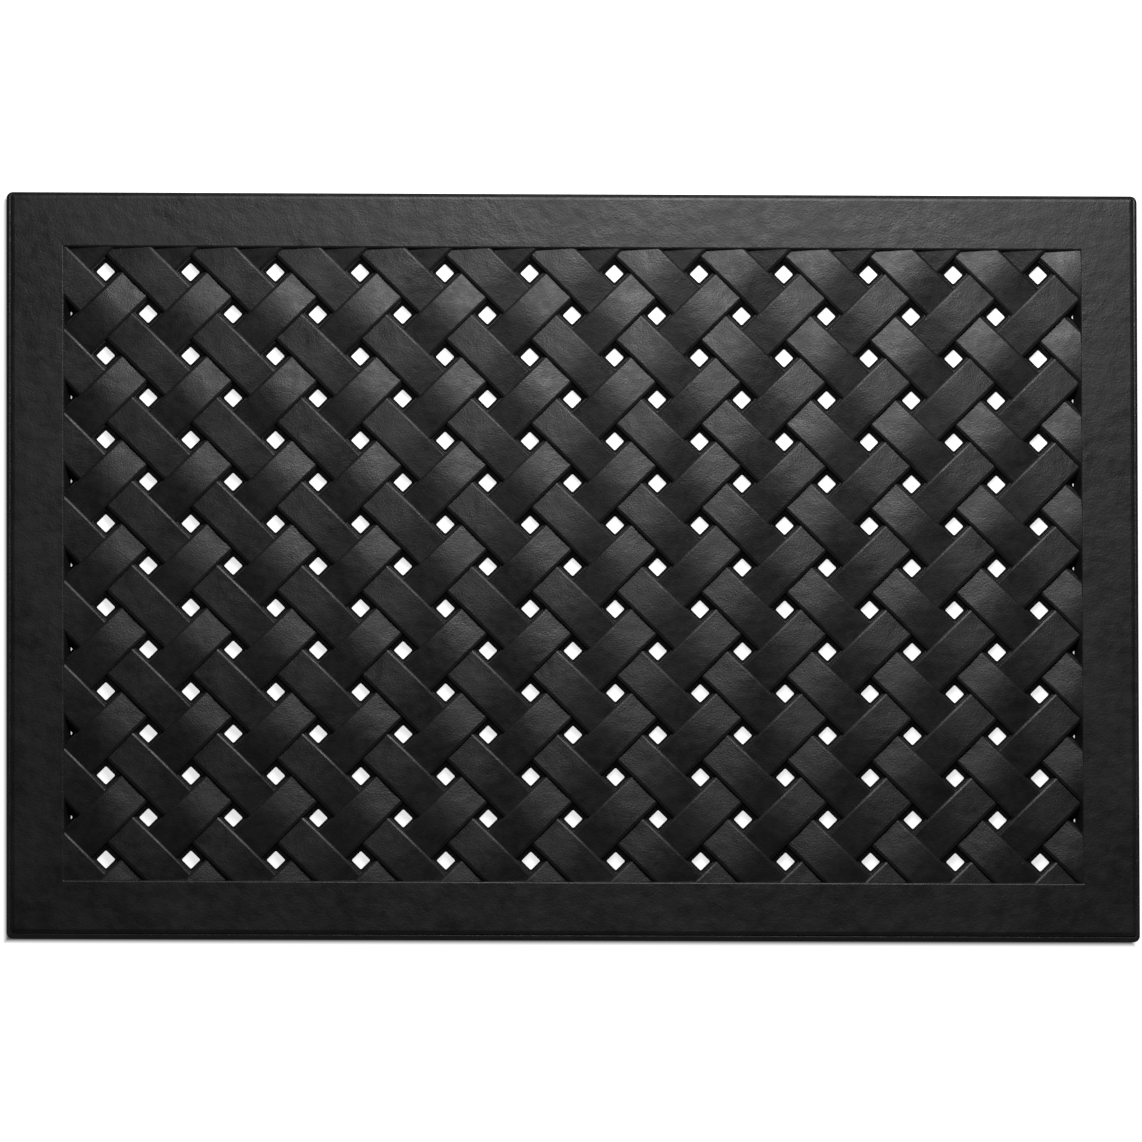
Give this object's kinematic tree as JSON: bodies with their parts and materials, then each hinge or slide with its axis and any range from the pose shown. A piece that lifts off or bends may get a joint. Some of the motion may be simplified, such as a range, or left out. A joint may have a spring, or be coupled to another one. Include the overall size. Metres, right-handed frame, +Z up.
{
  "type": "door mat",
  "caption": "Flat rectangular rubber door mat: straps in a diagonal basket weave over a web with square drain holes, inside a plain wide border.",
  "frame": {"origin": "centre of the underside, on the floor", "axes": "+X along the long side, +Y along the short side, +Z up"},
  "size_m": [0.9144, 0.6096, 0.0127],
  "materials": {
    "border_rubber": "black moulded rubber, semi-matt with a faint fine grain and cloudy sheen, its outer edges rounded and a little shinier",
    "strap_rubber": "black rubber strap, smooth and semi-matt with soft mottled sheen and rounded long edges",
    "web_rubber": "black rubber, matt, in the shade under the straps"
  },
  "bodies": {
    "root": {"border_frame": "border_rubber", "drain_web": "web_rubber", "rising_strap_1": "strap_rubber", "rising_strap_2": "strap_rubber", "rising_strap_3": "strap_rubber", "rising_strap_4": "strap_rubber", "rising_strap_5": "strap_rubber", "rising_strap_6": "strap_rubber", "rising_strap_7": "strap_rubber", "rising_strap_8": "strap_rubber", "rising_strap_9": "strap_rubber", "rising_strap_10": "strap_rubber", "rising_strap_11": "strap_rubber", "rising_strap_12": "strap_rubber", "rising_strap_13": "strap_rubber", "rising_strap_14": "strap_rubber", "rising_strap_15": "strap_rubber", "rising_strap_16": "strap_rubber", "rising_strap_17": "strap_rubber", "rising_strap_18": "strap_rubber", "rising_strap_19": "strap_rubber", "rising_strap_20": "strap_rubber", "falling_strap_1": "strap_rubber", "falling_strap_2": "strap_rubber", "falling_strap_3": "strap_rubber", "falling_strap_4": "strap_rubber", "falling_strap_5": "strap_rubber", "falling_strap_6": "strap_rubber", "falling_strap_7": "strap_rubber", "falling_strap_8": "strap_rubber", "falling_strap_9": "strap_rubber", "falling_strap_10": "strap_rubber", "falling_strap_11": "strap_rubber", "falling_strap_12": "strap_rubber", "falling_strap_13": "strap_rubber", "falling_strap_14": "strap_rubber", "falling_strap_15": "strap_rubber", "falling_strap_16": "strap_rubber", "falling_strap_17": "strap_rubber", "falling_strap_18": "strap_rubber", "falling_strap_19": "strap_rubber", "falling_strap_20": "strap_rubber"}
  },
  "joints": []
}
